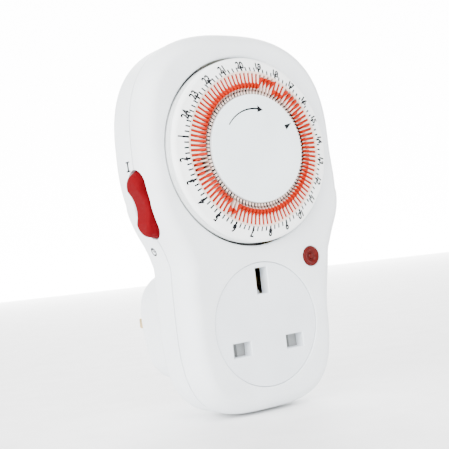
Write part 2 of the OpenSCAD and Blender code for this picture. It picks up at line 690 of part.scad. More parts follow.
motor_back = case_d - wall - 1.3;
shaft_r = 1;
shaft_in = 4.5;                      // how far the shaft reaches into the can
module motor_can() color("silver") on_dial() difference() {
    union() {
        disc(plate_back, motor_back - plate_back, motor_r, motor_x, motor_up);
        disc(motor_back - eps, 0.8, 5, motor_x, motor_up);
    }
    disc(plate_back - 1, shaft_in + 1.5, shaft_r + run_gap, motor_x, motor_up);
}
module motor_pinion() color("ivory") on_dial() {
    gear(motor_x, motor_up, wheel_front - 0.2, wheel_t + 0.4, pinion_teeth,
        motor_dir + 180 + 180 / pinion_teeth);
    disc(wheel_front + wheel_t, plate_back + shaft_in - wheel_front - wheel_t, shaft_r,
        motor_x, motor_up);
}
module reduction_gear() color("ivory") on_dial() difference() {
    union() {
        gear(train_x, train_up, wheel_front, wheel_t, wheel_teeth, motor_dir);
        gear(train_x, train_up, pinion_front, wheel_front - pinion_front + eps, pinion_teeth,
            train_dir + 180);
    }
    disc(pinion_front - 1, 8, axle_r + run_gap, train_x, train_up);
}

carrier_in = disc_r + 0.3;
carrier_rim = slot_out + 2;
ring_edge = 1.8;                     // radius of the outer edge of the number ring
ring_rise = 3.7;                     // how far that edge stands in front of the face
skirt_t = 1.4;
module dial_gear() color("ivory") on_dial() difference() {
    union() {
        gear(0, 0, gear_front, gear_t, dial_teeth, train_dir + 180 / dial_teeth);
        disc(-2, gear_front + 2 + eps, post_r + 2.5);
        disc(-2, 2 + web_back, carrier_in - 0.02);
        disc(0, web_back, slot_in - 0.3);
    }
    disc(-3, 12, post_r + run_gap);
}
module tappet_carrier() color("mistyrose") on_dial() difference() {
    union() {
        lay(-rib_rise) linear_extrude(rib_rise) slotted(slot_out + 0.6);
        lay(-2) linear_extrude(2) slotted(carrier_rim);
    }
    // Groove for the ring of wire that the tappets hang on
    lay(pivot_y - wire_r) rotate_extrude() translate([pivot_r - wire_r - fit_gap, 0])
        square([2 * (wire_r + fit_gap), 4]);
}
module slotted(rim) difference() {
    circle(r = rim);
    circle(r = carrier_in);
    for (i = [0:tappet_n - 1]) rotate(dial_turn + slot_step * (i + 0.5))
        translate([slot_in, -slot_w / 2]) square([slot_out - slot_in, slot_w]);
}
module number_ring() color("white") on_dial() lay(0) rotate_extrude() polygon(concat(
    [[slot_out + 0.62, -2], [slot_out + 0.62, -rib_rise], [dial_r - ring_edge, -ring_rise]],
    [for (a = [15:25:90])
        [dial_r - ring_edge + ring_edge * sin(a), ring_edge - ring_rise - ring_edge * cos(a)]],
    [[dial_r, tail_back], [dial_r - skirt_t, tail_back], [dial_r - skirt_t, 0],
     [carrier_rim + 0.02, 0], [carrier_rim + 0.02, -2]]));

module tappet_wire() color("silver") on_dial() lay(pivot_y) rotate_extrude()
    translate([pivot_r, 0]) circle(r = wire_r, $fn = 16);

// One tappet, standing in a slot and leaning outwards (on) or inwards (off)
function slot_turn(i) = dial_turn + slot_step * (i + 0.5 - 14 * 4);
module tappet(i, lean) on_dial() rotate([0, -slot_turn(i), 0]) translate([pivot_r, pivot_y, 0])
    rotate([0, 0, lean]) linear_extrude(tappet_t, center = true) difference() {
        union() {
            polygon([[-head_w / 2, -head_top], [head_w / 2, -head_top], [head_w / 2, -head_foot],
                [blade_half, -blade_low], [blade_half, 0.8], [-blade_half, 0.8],
                [-blade_half, -blade_low], [-head_w / 2, -head_foot]]);
            translate([-0.5, 0]) square([1, tail_back - pivot_y - 0.1]);
        }
        circle(r = wire_r + run_gap, $fn = 24);
    }
module tappets_off() color("orangered") for (i = [0:tappet_n - 1])
    if (len(search(i, slots_set)) == 0) tappet(i, -tappet_tilt);

disc_t = 1.2;
stub_l = 5;
stub_r = 2;
module centre_disc() color("aliceblue") on_dial() {
    disc(-disc_rise, disc_t, disc_r);
    disc(-disc_rise + disc_t - eps, stub_l, stub_r);
}

front_casing();
rear_casing();
casing_screws();
socket_plate();
shutter();
shutter_spring();
neutral_pin();
live_pin();
earth_pin();
neutral_sleeve();
live_sleeve();
neutral_bar();
earth_bar();
live_bar_in();
live_bar_out();
indicator_lens();
indicator_lamp();
lamp_resistor();
gear_plate();
plate_screws();
motor_can();
motor_pinion();
reduction_gear();
dial_gear();
tappet_carrier();
number_ring();
tappet_wire();
tappets_off();
centre_disc();
switch_body();
switch_plunger();
switch_lever();
override_rocker();
for (i = [0:len(slots_set) - 1])
    color("orangered") tappet(slots_set[i], tappet_tilt);
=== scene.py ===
"""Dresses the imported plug-in timer switch: soft moulded casing, printed dial, tappets, materials, studio."""

import json
import math

import bmesh
import bpy
from mathutils import Matrix, Vector


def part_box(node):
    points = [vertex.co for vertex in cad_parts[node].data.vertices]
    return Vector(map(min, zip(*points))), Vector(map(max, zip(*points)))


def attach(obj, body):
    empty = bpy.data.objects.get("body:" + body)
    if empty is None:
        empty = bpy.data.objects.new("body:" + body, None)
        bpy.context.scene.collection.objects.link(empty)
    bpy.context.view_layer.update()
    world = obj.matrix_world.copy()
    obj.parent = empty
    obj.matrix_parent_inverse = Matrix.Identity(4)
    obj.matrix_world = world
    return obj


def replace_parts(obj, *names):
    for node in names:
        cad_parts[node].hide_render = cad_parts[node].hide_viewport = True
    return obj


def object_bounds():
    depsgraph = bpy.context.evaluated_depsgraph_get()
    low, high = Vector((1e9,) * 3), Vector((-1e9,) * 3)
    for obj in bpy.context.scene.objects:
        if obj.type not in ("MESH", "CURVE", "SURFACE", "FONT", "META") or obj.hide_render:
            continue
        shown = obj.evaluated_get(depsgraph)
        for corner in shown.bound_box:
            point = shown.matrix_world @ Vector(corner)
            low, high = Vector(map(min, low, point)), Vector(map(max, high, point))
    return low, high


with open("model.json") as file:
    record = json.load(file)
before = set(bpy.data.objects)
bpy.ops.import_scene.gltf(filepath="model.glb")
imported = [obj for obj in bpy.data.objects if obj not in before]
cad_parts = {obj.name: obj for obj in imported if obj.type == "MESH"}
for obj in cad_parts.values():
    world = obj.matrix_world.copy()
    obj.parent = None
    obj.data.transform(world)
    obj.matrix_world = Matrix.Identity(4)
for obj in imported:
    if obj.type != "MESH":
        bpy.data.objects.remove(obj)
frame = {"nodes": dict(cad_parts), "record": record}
CAD_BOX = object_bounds()
NODES = frame["nodes"]
MM = 0.001


# ---- places taken from the frame, in millimetres ------------------------------------------
def low(node, axis):
    """Smallest coordinate of a node along an axis."""
    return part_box(node)[0][axis] / MM


def high(node, axis):
    """Largest coordinate of a node along an axis."""
    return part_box(node)[1][axis] / MM


FACE_Y = low("front_casing", 1)
SEAM_Y = high("front_casing", 1)
REAR_Y = -25.0
WALL = 2.2
DIAL_Z = (low("number_ring", 2) + high("number_ring", 2)) / 2
DIAL_R = (high("number_ring", 0) - low("number_ring", 0)) / 2
DISC_R = high("centre_disc", 0)
DISC_Y = low("centre_disc", 1)
RIB_Y = low("tappet_carrier", 1)
SLOT_IN = 19.6
SLOT_OUT = 26.0
TAPPETS = 96
DIAL_TURN = 5.0
HOUR_ON_RIGHT = 14
SOCKET_Z = -9.0
PLATE_Z = (low("socket_plate", 2) + high("socket_plate", 2)) / 2
PLATE_R = 21.2
PLATE_Y = low("socket_plate", 1)
PIN_PITCH = 22.225
LENS_X = (low("indicator_lens", 0) + high("indicator_lens", 0)) / 2
LENS_Z = (low("indicator_lens", 2) + high("indicator_lens", 2)) / 2
LENS_R = 3.5


# ---- node materials -------------------------------------------------------------------------
def material(name):
    """A new material, its node tree and its main shader."""
    mat = bpy.data.materials.new(name)
    mat.use_nodes = True
    tree = mat.node_tree
    return mat, tree, tree.nodes["Principled BSDF"]


def noise(tree, scale, detail=3.0, rough=0.5):
    """Cloudy grey that is fixed to the piece."""
    place = tree.nodes.new("ShaderNodeTexCoord")
    node = tree.nodes.new("ShaderNodeTexNoise")
    node.inputs["Scale"].default_value = scale
    node.inputs["Detail"].default_value = detail
    node.inputs["Roughness"].default_value = rough
    tree.links.new(place.outputs["Object"], node.inputs["Vector"])
    return node.outputs["Fac"]


def ramp(tree, source, low_value, high_value, low_at=0.3, high_at=0.7):
    """Turns a grey value into a colour or a number between two ends."""
    node = tree.nodes.new("ShaderNodeValToRGB")
    node.color_ramp.elements[0].position = low_at
    node.color_ramp.elements[1].position = high_at
    node.color_ramp.elements[0].color = low_value
    node.color_ramp.elements[1].color = high_value
    tree.links.new(source, node.inputs["Fac"])
    return node.outputs["Color"]


def grey(value):
    """A grey as a colour with alpha."""
    return (value, value, value, 1.0)


def shade(colour, factor):
    """A colour made lighter or darker."""
    return tuple(min(1.0, c * factor) for c in colour) + (1.0,)


def bump(tree, shader, source, height, strength=1.0):
    """Relief of a height in millimetres from a grey value."""
    node = tree.nodes.new("ShaderNodeBump")
    node.inputs["Distance"].default_value = height * MM
    node.inputs["Strength"].default_value = strength
    tree.links.new(source, node.inputs["Height"])
    tree.links.new(node.outputs["Normal"], shader.inputs["Normal"])


def moulded(name, colour, rough, grain=0.004, grain_scale=2200.0, vary=0.04, shine=0.5):
    """Moulded plastic: a slight drift of colour, uneven gloss and a fine eroded grain."""
    mat, tree, shader = material(name)
    drift = noise(tree, 60.0)
    tree.links.new(ramp(tree, drift, shade(colour, 1 - vary), shade(colour, 1 + vary)),
                   shader.inputs["Base Color"])
    uneven = noise(tree, 260.0)
    tree.links.new(ramp(tree, uneven, grey(rough - 0.04), grey(rough + 0.05)), shader.inputs["Roughness"])
    bump(tree, shader, noise(tree, grain_scale, 2.0), grain)
    shader.inputs["Specular IOR Level"].default_value = shine
    return mat


def metal(name, colour, rough, streak=(1.0, 1.0, 1.0), grain=0.003, vary=0.1):
    """Bare metal with drawing or turning lines along one direction."""
    mat, tree, shader = material(name)
    place = tree.nodes.new("ShaderNodeTexCoord")
    stretch = tree.nodes.new("ShaderNodeMapping")
    stretch.inputs["Scale"].default_value = streak
    lines = tree.nodes.new("ShaderNodeTexNoise")
    lines.inputs["Scale"].default_value = 400.0
    lines.inputs["Detail"].default_value = 4.0
    tree.links.new(place.outputs["Object"], stretch.inputs["Vector"])
    tree.links.new(stretch.outputs["Vector"], lines.inputs["Vector"])
    tree.links.new(ramp(tree, lines.outputs["Fac"], shade(colour, 1 - vary), shade(colour, 1 + vary)),
                   shader.inputs["Base Color"])
    tree.links.new(ramp(tree, noise(tree, 300.0), grey(rough - 0.06), grey(rough + 0.1)),
                   shader.inputs["Roughness"])
    bump(tree, shader, lines.outputs["Fac"], grain)
    shader.inputs["Metallic"].default_value = 1.0
    return mat


MATS = {
    "casing": moulded("casing_white", (0.80, 0.835, 0.86), 0.45, shine=0.3),
    "plate": moulded("plate_grey_white", (0.76, 0.80, 0.84), 0.5, shine=0.3),
    "ring": moulded("ring_white", (0.93, 0.95, 0.95), 0.45, shine=0.3),
    "disc": moulded("disc_blue_grey", (0.80, 0.88, 0.91), 0.45, shine=0.3),
    "carrier": moulded("carrier_cream", (0.80, 0.62, 0.54), 0.5, shine=0.2),
    "tappet": moulded("tappet_red", (0.36, 0.014, 0.003), 0.55, shine=0.04),
    "rocker": moulded("rocker_crimson", (0.11, 0.0015, 0.004), 0.55, shine=0.02),
    "print": moulded("print_charcoal", (0.010, 0.011, 0.013), 0.6, shine=0.04),
    "shutter": moulded("shutter_grey", (0.35, 0.36, 0.36), 0.6, shine=0.2),
    "black": moulded("sleeve_black", (0.02, 0.02, 0.022), 0.5),
    "gear": moulded("gear_ivory", (0.78, 0.75, 0.66), 0.45),
    "lever": moulded("lever_stone", (0.6, 0.57, 0.5), 0.5),
    "resistor": moulded("resistor_tan", (0.6, 0.42, 0.25), 0.45),
    "brass": metal("pin_brass", (0.78, 0.56, 0.24), 0.28, (1, 0.15, 1)),
    "steel": metal("steel_plated", (0.62, 0.63, 0.65), 0.3),
    "plate_metal": metal("gear_plate_zinc", (0.6, 0.62, 0.66), 0.36, (0.2, 1, 1)),
    "motor": metal("motor_can_aluminium", (0.7, 0.71, 0.73), 0.32, (1, 6, 1)),
}


def lens_red():
    """Clear dark red with a faint cloudy drift of colour."""
    mat, tree, shader = material("lens_red")
    tree.links.new(ramp(tree, noise(tree, 900.0), (0.075, 0.003, 0.002, 1), (0.100, 0.004, 0.003, 1)),
                   shader.inputs["Base Color"])
    shader.inputs["Roughness"].default_value = 0.2
    shader.inputs["Transmission Weight"].default_value = 0.15
    shader.inputs["Specular IOR Level"].default_value = 0.06
    bump(tree, shader, noise(tree, 1500.0), 0.004)
    return mat


def lamp_glass():
    """Tinted glass of the small neon lamp."""
    mat, tree, shader = material("lamp_glass")
    tree.links.new(ramp(tree, noise(tree, 500.0), (0.5, 0.25, 0.16, 1), (0.62, 0.32, 0.2, 1)),
                   shader.inputs["Base Color"])
    shader.inputs["Roughness"].default_value = 0.1
    shader.inputs["Transmission Weight"].default_value = 0.5
    return mat


MATS["lens"] = lens_red()
MATS["glass"] = lamp_glass()


# ---- mesh helpers -----------------------------------------------------------------------------
def new_piece(name, verts, faces, mat, body, smooth=35.0):
    """A mesh from points in millimetres, which rides on a body."""
    mesh = bpy.data.meshes.new(name)
    mesh.from_pydata([Vector(v) * MM for v in verts], [], faces)
    mesh.validate()
    bm = bmesh.new()
    bm.from_mesh(mesh)
    bmesh.ops.recalc_face_normals(bm, faces=bm.faces)
    bm.to_mesh(mesh)
    bm.free()
    obj = bpy.data.objects.new(name, mesh)
    bpy.context.scene.collection.objects.link(obj)
    obj.data.materials.append(MATS[mat])
    if smooth:
        round_off(obj, smooth)
    if body:
        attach(obj, body)
    return obj


def round_off(obj, angle):
    """Smooth shading, with edges sharper than the angle kept sharp."""
    mesh = obj.data
    mesh.polygons.foreach_set("use_smooth", [True] * len(mesh.polygons))
    mesh.set_sharp_from_angle(angle=math.radians(angle))


def bake(obj):
    """Turns an object's modifiers into mesh."""
    bpy.context.view_layer.update()
    graph = bpy.context.evaluated_depsgraph_get()
    mesh = bpy.data.meshes.new_from_object(obj.evaluated_get(graph))
    obj.modifiers.clear()
    obj.data = mesh


def combine(obj, others, operation):
    """Joins the others to the object, or takes them out of it."""
    for other in others:
        mod = obj.modifiers.new(operation, "BOOLEAN")
        mod.operation = operation
        mod.solver = "EXACT"
        mod.object = other
    bake(obj)
    for other in others:
        bpy.data.objects.remove(other)


def cut(obj, cutters):
    """Takes the cutters out of the object."""
    combine(obj, cutters, "DIFFERENCE")


def add_mesh(verts, faces, more_verts, more_faces):
    """Adds the points and faces of one more solid to a growing mesh."""
    start = len(verts)
    verts += more_verts
    faces += [[start + i for i in face] for face in more_faces]


def loft_mesh(rings):
    """Points and faces of a closed solid through equal rings of points."""
    n = len(rings[0])
    verts = [p for ring in rings for p in ring]
    faces = [[k * n + i, k * n + (i + 1) % n, (k + 1) * n + (i + 1) % n, (k + 1) * n + i]
             for k in range(len(rings) - 1) for i in range(n)]
    faces.append(list(range(n)))
    faces.append([(len(rings) - 1) * n + i for i in reversed(range(n))])
    return verts, faces


AXIS_R = 0.001                       # a turned piece closes this near its axis


def lathe_mesh(profile, cx, cz, turns=96):
    """A closed profile of (radius, y), turned about the line through (cx, cz) along Y."""
    n = len(profile)
    verts = []
    for k in range(turns):
        a = 2 * math.pi * k / turns
        verts += [(cx + r * math.cos(a), y, cz + r * math.sin(a)) for r, y in profile]
    faces = [[k * n + i, k * n + (i + 1) % n, ((k + 1) % turns) * n + (i + 1) % n, ((k + 1) % turns) * n + i]
             for k in range(turns) for i in range(n)]
    return verts, faces


def lathe(name, profile, cx, cz, mat, body, turns=96, smooth=35.0):
    """A turned piece."""
    verts, faces = lathe_mesh(profile, cx, cz, turns)
    return new_piece(name, verts, faces, mat, body, smooth)


def arc(cx, cy, r, start, end, steps):
    """Points of an arc, angles in degrees."""
    return [(cx + r * math.cos(math.radians(start + (end - start) * k / steps)),
             cy + r * math.sin(math.radians(start + (end - start) * k / steps))) for k in range(steps + 1)]


def quarter(steps):
    """Angles of a quarter turn."""
    return [math.radians(90 * k / steps) for k in range(steps + 1)]


def plug_cutter(name, r, y0, y1, cx, cz, flare):
    """A round cutter from y0 to y1 whose front mouth is rounded over by a flare."""
    mouth = [(r + flare - flare * math.sin(a), y0 + flare * (1 - math.cos(a))) for a in quarter(5)]
    profile = [(AXIS_R, y0 - 5), (r + flare, y0 - 5)] + mouth + [(r, y1), (AXIS_R, y1)]
    verts, faces = lathe_mesh(profile, cx, cz, 128)
    return new_piece(name, verts, faces, "casing", None, 0)


# ---- camera and studio ----------------------------------------------------------------------------
LOOK_AT = Vector((-13.12, -50.0, 33.50)) * MM
AZIMUTH = -33.58
ELEVATION = -1.60
ROLL = -6.45
DISTANCE = 301.4 * MM
LENS = 72.16
FLOOR_HALF = 3.0
FLOOR_GAP = 0.0005
BACKDROP_AWAY = 1.6
BACKDROP_SIZE = 1.5
BACKDROP_GLOW = 12.0
SKY_GLOW = 1.6
LIGHT_AIM = Vector((0, -0.03, 0.035))
LIGHTS = {
    "side": {"place": (-1.2, -0.25, 0.2), "size": 1.2, "power": 62.0},
    "key": {"place": (-0.4, -0.8, 0.75), "size": 0.8, "power": 13.0},
    "fill": {"place": (0.9, -0.6, 0.3), "size": 0.8, "power": 6.0},
}


def add_camera():
    """The view of the photo, which leans a little."""
    az, el, roll = (math.radians(v) for v in (AZIMUTH, ELEVATION, ROLL))
    back = Vector((math.sin(az) * math.cos(el), -math.cos(az) * math.cos(el), math.sin(el)))
    right = (-back).cross(Vector((0, 0, 1))).normalized()
    up = right.cross(-back)
    tilted_right = right * math.cos(roll) + up * math.sin(roll)
    tilted_up = up * math.cos(roll) - right * math.sin(roll)
    data = bpy.data.cameras.new("camera")
    data.lens = LENS
    data.sensor_width = 36.0
    data.clip_start = 0.01
    data.clip_end = 20.0
    cam = bpy.data.objects.new("camera", data)
    cam.matrix_world = Matrix.Translation(LOOK_AT + back * DISTANCE) @ Matrix(
        (tilted_right, tilted_up, back)).transposed().to_4x4()
    bpy.context.scene.collection.objects.link(cam)
    bpy.context.scene.camera = cam


def add_light(name, place, size, power):
    """A square soft box that looks at the middle of the part."""
    data = bpy.data.lights.new(name, "AREA")
    data.shape = "RECTANGLE"
    data.size, data.size_y = size, size
    data.energy = power
    lamp = bpy.data.objects.new(name, data)
    lamp.location = place
    lamp.rotation_euler = (LIGHT_AIM - Vector(place)).to_track_quat("-Z", "Y").to_euler()
    bpy.context.scene.collection.objects.link(lamp)


def backdrop_white():
    """Evenly lit white paper behind the part."""
    mat, tree, shader = material("backdrop_white")
    tree.links.new(ramp(tree, noise(tree, 3.0), grey(0.9), grey(0.94)), shader.inputs["Base Color"])
    tree.links.new(ramp(tree, noise(tree, 3.0), grey(0.98), grey(1.0)), shader.inputs["Emission Color"])
    shader.inputs["Emission Strength"].default_value = BACKDROP_GLOW
    return mat


def add_sheet(name, corners, mat):
    """A flat sheet of the studio, which is no piece of the part."""
    mesh = bpy.data.meshes.new(name)
    mesh.from_pydata(corners, [], [(0, 1, 2, 3)])
    sheet = bpy.data.objects.new(name, mesh)
    sheet.data.materials.append(mat)
    bpy.context.scene.collection.objects.link(sheet)


def add_studio():
    """White surround, three soft boxes, a floor and a paper behind the part."""
    world = bpy.data.worlds.new("studio")
    world.use_nodes = True
    bg = world.node_tree.nodes["Background"]
    bg.inputs["Color"].default_value = (1, 1, 1, 1)
    bg.inputs["Strength"].default_value = SKY_GLOW
    bpy.context.scene.world = world
    for name, light in LIGHTS.items():
        add_light(name, **light)
    floor_z = CAD_BOX[0][2] - FLOOR_GAP
    s = FLOOR_HALF
    add_sheet("floor", [(-s, -s, floor_z), (s, -s, floor_z), (s, s, floor_z), (-s, s, floor_z)],
              moulded("floor_white", (0.94, 0.94, 0.94), 0.7, grain=0.0))
    view = bpy.context.scene.camera.matrix_world
    middle = view @ Vector((0, 0, -DISTANCE - BACKDROP_AWAY))
    across = (view.to_3x3() @ Vector((1, 0, 0)) * Vector((1, 1, 0))).normalized() * BACKDROP_SIZE / 2
    foot = Vector((middle.x, middle.y, floor_z))
    rise = Vector((0, 0, BACKDROP_SIZE))
    corners = [foot - across, foot + across, foot + across + rise, foot - across + rise]
    add_sheet("backdrop", corners, backdrop_white())


add_camera()
add_studio()


# ---- casing ---------------------------------------------------------------------------------------
UPPER = {"w": 80.0, "h": 79.0, "mid": 60.5, "sq": 2.6}
LOWER = {"w": 61.0, "h": 75.0, "mid": 6.0, "sq": 3.3}
WAIST = 10.0
EDGE_IN = 5.6
EDGE_BACK = 8.75
REAR_EDGE = 5.5
CHEEK = 4.5
CHEEK_Z = SOCKET_Z + 38.0
CHEEK_RUN = 31.0
BOSS_WIDE = {"w": 43.6, "h": 39.5, "mid": -2.0, "sq": 3.3}
BOSS_CROWN = {"w": 30.0, "h": 44.0, "mid": PIN_PITCH - 7.0, "sq": 2.4}
BOSS_WAIST = 10.0
BOSS_EDGE = 3.0
BOSS_WALL = 3.0
SCREWS = [(side * x, SOCKET_Z + z) for side in (-1, 1) for x, z in ((25.5, 92.5), (18.5, -14.6))]
SCREW_HEAD_R = 2.3
SCREW_PLAY = 0.3
RECESS = 3.0
MOUTH_BEVEL = 0.3
DIAL_GAP = 1.0
PLATE_GAP = 0.15
LENS_GAP = 0.1
HOLE_BACK = FACE_Y + 6
ROCKER_Y = FACE_Y + 9.8
ROCKER_Z = SOCKET_Z + 52.5
ROCKER_LEAN = -11.0
ROCKER_L = 22.0
ROCKER_W = 8.4
ROCKER_OUT = 7.2
ROCKER_SUNK = 5.2
ROCKER_REACH = math.hypot(ROCKER_L / 2, ROCKER_SUNK)
WINDOW_PLAY = 0.35
WINDOW_IN = 1.5
WINDOW_BEVEL = 0.5
BEVEL_FROM = ROCKER_SUNK - 1.6
WINDOW_LEVELS = (ROCKER_OUT + 0.6, 7.2, 6.5, 5.8, 5.0, 4.2, 2.5, 1.0, -0.5, -WINDOW_IN)
SEAM_HALF = 0.32
SEAM_DEEP = 1.9
RING_POINTS = 110


def lobe(z, form):
    """Half width of one rounded lobe of an outline at a height."""
    t = abs(z - form["mid"]) * 2 / form["h"]
    return form["w"] / 2 * (1 - t ** form["sq"]) ** (1 / form["sq"]) if t < 1 else 0.0


def half_width(z, one, two, k):
    """Half width of an outline that blends two lobes at its waist."""
    a, b = lobe(z, one), lobe(z, two)
    m = max(a, b)
    return (a + b + math.sqrt((a - b) ** 2 + k * k) - math.sqrt(m * m + k * k) + m) / 2


def outline(one, two, k, n=RING_POINTS):
    """Closed outline (x, z) from the top, down the right side and up the left."""
    top = max(f["mid"] + f["h"] / 2 for f in (one, two))
    foot = min(f["mid"] - f["h"] / 2 for f in (one, two))
    heights = [(top + foot) / 2 + (top - foot) / 2 * math.cos(math.pi * i / n) for i in range(n + 1)]
    right = [(half_width(z, one, two, k), z) for z in heights]
    return right + [(-x, z) for x, z in reversed(right[1:-1])]


def inward(line, d):
    """The outline moved inwards along its own normals."""
    moved = []
    for i, (x, z) in enumerate(line):
        (ax, az), (bx, bz) = line[i - 1], line[(i + 1) % len(line)]
        size = math.hypot(bx - ax, bz - az)
        moved.append((x + d * (bz - az) / size, z - d * (bx - ax) / size))
    return moved


def shell(line, rings):
    """Rings of one outline, each (inset, y)."""
    return [[(x, y, z) for x, z in inward(line, inset)] for inset, y in rings]


def cheek_out(z):
    """How far the right side stands out between the dial and the socket."""
    t = abs(z - CHEEK_Z) / CHEEK_RUN
    return CHEEK / 2 * (1 + math.cos(math.pi * t)) if t < 1 else 0.0


CASE_LINE = [(x + cheek_out(z) if x > 0 else x, z) for x, z in outline(UPPER, LOWER, WAIST)]
BOSS_LINE = outline(BOSS_CROWN, BOSS_WIDE, BOSS_WAIST)


def cutter(name, rings):
    """A solid through rings of points, used up by a later cut or join."""
    verts, faces = loft_mesh(rings)
    return new_piece(name, verts, faces, "casing", None, 0)


def rocker_place():
    """The frame of the rocker: its trunnions are its Y axis, the wall faces its -X side."""
    axle = Vector((ROCKER_SUNK - half_width(ROCKER_Z, UPPER, LOWER, WAIST), ROCKER_Y, ROCKER_Z))
    return Matrix.Translation(axle * MM) @ Matrix.Rotation(math.radians(ROCKER_LEAN), 4, "Y")


def bar_line(level, half, side_steps=14, end_steps=16):
    """Outline (y, z) of a round-ended bar at a distance from the trunnions, whose ends run on a circle."""
    middle = math.sqrt(ROCKER_REACH ** 2 - level ** 2) - ROCKER_W / 2
    ends = [math.pi * k / end_steps for k in range(end_steps + 1)]
    top = [(half * math.cos(a), middle + half * math.sin(a)) for a in ends]
    side = [(half, middle * (2 * k / side_steps - 1)) for k in range(1, side_steps)]
    return side + top + [(-y, -z) for y, z in side + top]


def rocker_window():
    """The opening in the side wall, whose mouth is bevelled."""
    rings = []
    for level in WINDOW_LEVELS:
        bevel = WINDOW_BEVEL * max(0.0, level - BEVEL_FROM)
        rings.append([(-level, y, z) for y, z in bar_line(level, ROCKER_W / 2 + WINDOW_PLAY + bevel)])
    outside = [(x - 4.0, y, z) for x, y, z in rings[0]]
    window = cutter("window", [outside] + rings)
    window.matrix_world = rocker_place()
    return window


def front_shell():
    """Front half of the casing, hollow, with its four openings."""
    rings = [(EDGE_IN * (1 - math.sin(a)), FACE_Y + EDGE_BACK * (1 - math.cos(a))) for a in quarter(14)]
    rings += [(0.0, SEAM_Y - SEAM_HALF), (SEAM_DEEP, SEAM_Y)]
    verts, faces = loft_mesh(shell(CASE_LINE, rings))
    body = new_piece("front_shell", verts, faces, "casing", "casing")
    inner = [(EDGE_IN + 1, FACE_Y + WALL), (WALL + 1, FACE_Y + WALL + 2)]
    inner += [(WALL, FACE_Y + EDGE_BACK), (WALL, SEAM_Y + 1)]
    cut(body, [
        cutter("hollow", shell(CASE_LINE, inner)),
        plug_cutter("dial_hole", DIAL_R + DIAL_GAP, FACE_Y, HOLE_BACK, 0, DIAL_Z, 0.8),
        plug_cutter("socket_hole", PLATE_R + PLATE_GAP, FACE_Y, HOLE_BACK, 0, PLATE_Z, 0.3),
        plug_cutter("lens_hole", LENS_R + LENS_GAP, FACE_Y, HOLE_BACK, LENS_X, LENS_Z, 0.25),
        rocker_window()])
    round_off(body, 32)
    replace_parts(body, "front_casing")


def rear_shell():
    """Rear half of the casing with the plug housing and the screw recesses."""
    rings = [(SEAM_DEEP, SEAM_Y), (0.0, SEAM_Y + SEAM_HALF)]
    rings += [(REAR_EDGE * (1 - math.cos(a)), REAR_Y - REAR_EDGE * (1 - math.sin(a))) for a in quarter(10)]
    verts, faces = loft_mesh(shell(CASE_LINE, rings))
    body = new_piece("rear_shell", verts, faces, "casing", "casing")
    boss = [(0.0, REAR_Y - 1.1)]
    boss += [(BOSS_EDGE * (1 - math.cos(a)), -BOSS_EDGE * (1 - math.sin(a))) for a in quarter(8)]
    housing = cutter("housing", shell(BOSS_LINE, boss))
    combine(body, [housing], "UNION")
    inner = [(WALL, SEAM_Y - 1), (WALL, REAR_Y - REAR_EDGE)]
    inner += [(WALL + 2, REAR_Y - WALL - 1), (REAR_EDGE, REAR_Y - WALL)]
    bore = SCREW_HEAD_R + SCREW_PLAY
    mouth = bore + MOUTH_BEVEL
    recess = [(AXIS_R, REAR_Y - RECESS), (bore, REAR_Y - RECESS), (bore, REAR_Y - MOUTH_BEVEL)]
    recess += [(mouth, REAR_Y + 0.02), (mouth, REAR_Y + 3), (AXIS_R, REAR_Y + 3)]
    recesses = []
    for x, z in SCREWS:
        verts, faces = lathe_mesh(recess, x, z, 48)
        recesses.append(new_piece("recess", verts, faces, "casing", None, 0))
    cut(body, [
        cutter("hollow", shell(CASE_LINE, inner)),
        cutter("boss_hollow", shell(BOSS_LINE, [(WALL, REAR_Y - WALL - 1), (WALL, -BOSS_WALL)])),
        rocker_window()] + recesses)
    round_off(body, 32)
    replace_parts(body, "rear_casing")


# ---- dial ------------------------------------------------------------------------------------------
RING_IN = SLOT_OUT + 0.62
RIM_ROUND = 1.8
CONE_OUT = DIAL_R - RIM_ROUND
CONE_DROP = 1.2
RIM_Y = RIB_Y + CONE_DROP + RIM_ROUND
UNDERCUT = 1.1
SKIRT_BACK = 2.7
SKIRT_T = 1.4
RING_BORE = SLOT_OUT + 2.05
RIB_CROWN = 0.32
RIB_GAP_HALF = 0.45


def cone_y(r):
    """Front surface of the number ring at a radius."""
    if r <= CONE_OUT:
        return RIB_Y + CONE_DROP * (r - RING_IN) / (CONE_OUT - RING_IN)
    t = min(1.0, (r - CONE_OUT) / RIM_ROUND)
    return RIB_Y + CONE_DROP + RIM_ROUND * (1 - math.sqrt(1 - t * t))


def dial_point(r, angle, y):
    """A point on the dial in polar measures."""
    return (r * math.cos(angle), y, DIAL_Z + r * math.sin(angle))


def number_ring():
    """White sloping ring with a round rim, undercut behind it down to its skirt."""
    edge = arc(CONE_OUT, RIM_Y, RIM_ROUND, -90, 0, 10)
    profile = [(RING_IN, RIB_Y + 3), (RING_IN, RIB_Y + 0.12), (RING_IN + 0.12, RIB_Y + 0.02)] + edge
    profile += [(DIAL_R - 0.15, RIM_Y + 0.2), (DIAL_R - UNDERCUT, RIM_Y + 0.35)]
    profile += [(DIAL_R - UNDERCUT, FACE_Y + 1.2), (DIAL_R, FACE_Y + 1.4), (DIAL_R, FACE_Y + SKIRT_BACK)]
    profile += [(DIAL_R - SKIRT_T, FACE_Y + SKIRT_BACK), (DIAL_R - SKIRT_T, FACE_Y)]
    profile += [(RING_BORE, FACE_Y), (RING_BORE, RIB_Y + 3)]
    ring = lathe("number_ring_shaded", profile, 0, DIAL_Z, "ring", "dial", 160)
    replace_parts(ring, "number_ring")


def printed(name, quads, body):
    """Thin printed strokes, each a list of points."""
    verts, faces = [], []
    for quad in quads:
        faces.append(list(range(len(verts), len(verts) + len(quad))))
        verts += quad
    return new_piece(name, verts, faces, "print", body, 0)


